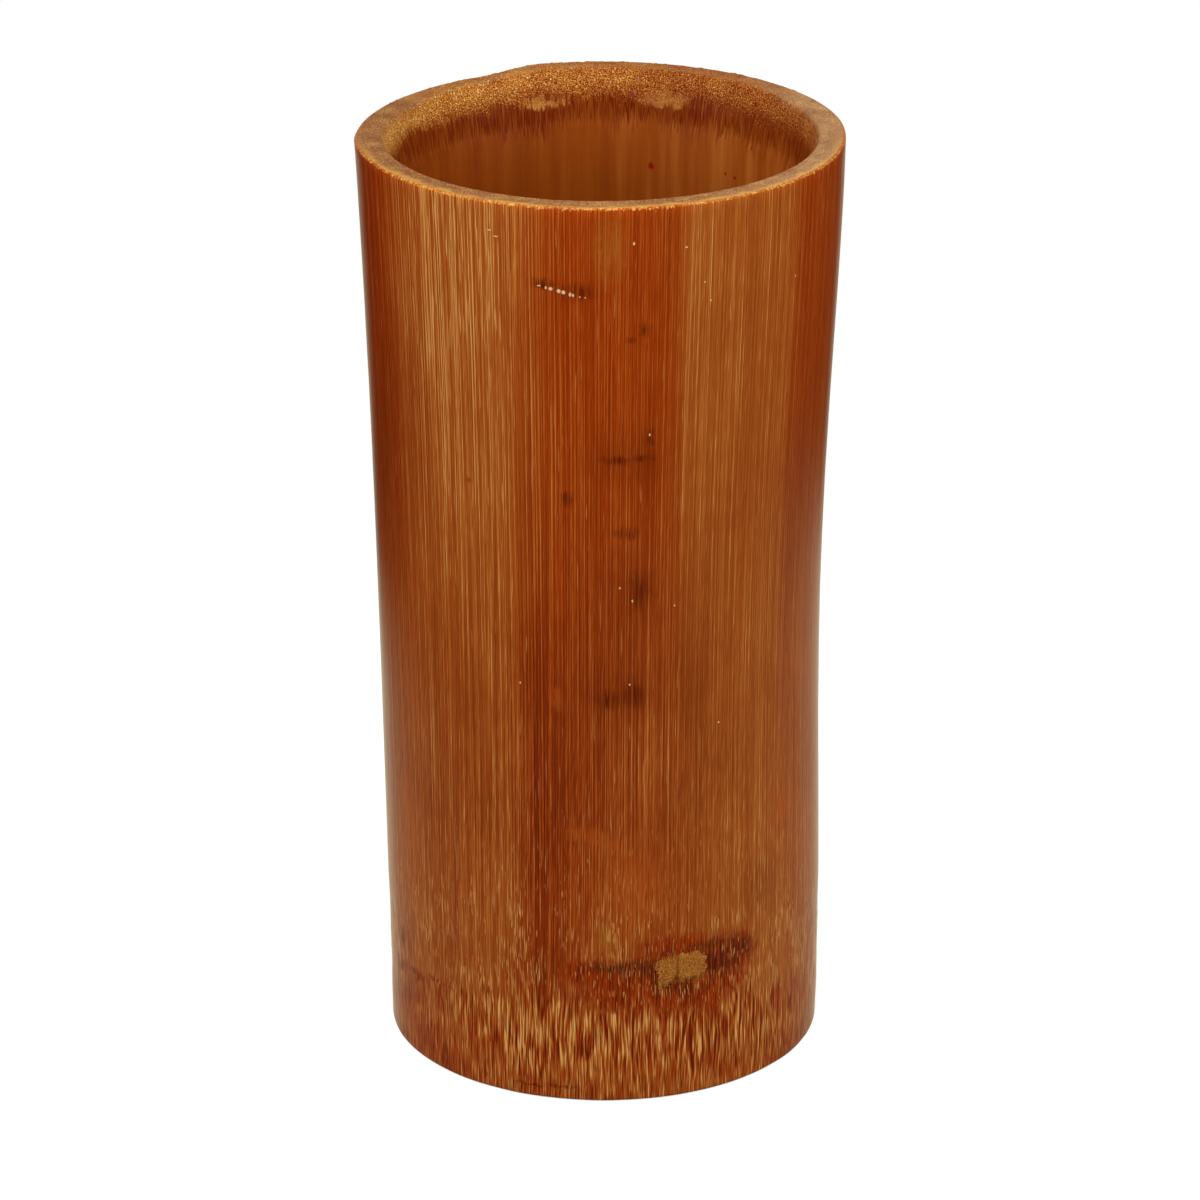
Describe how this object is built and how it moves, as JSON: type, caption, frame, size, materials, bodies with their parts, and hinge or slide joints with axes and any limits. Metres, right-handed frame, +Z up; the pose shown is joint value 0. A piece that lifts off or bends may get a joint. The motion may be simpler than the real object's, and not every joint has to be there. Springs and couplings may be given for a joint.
{
  "type": "bamboo cup",
  "caption": "Tall lacquered cup cut from a thick-walled bamboo culm: flared wall, pared mouth, node floor and dried bud scar near the foot.",
  "frame": {"origin": "on the table, under the middle of the rim", "axes": "+Z up along the culm, -Y towards the front in the picture, +X to its right"},
  "size_m": [0.1015, 0.1016, 0.2],
  "materials": {
    "lacquered_culm": "stained and lacquered, satin gloss",
    "node_floor": "thinly lacquered, rough",
    "bud_scar": "dry, granular"
  },
  "bodies": {
    "root": {"culm_wall": "lacquered_culm", "node_floor": "node_floor", "bud_scar_left": "bud_scar", "bud_scar_right": "bud_scar"}
  },
  "joints": []
}
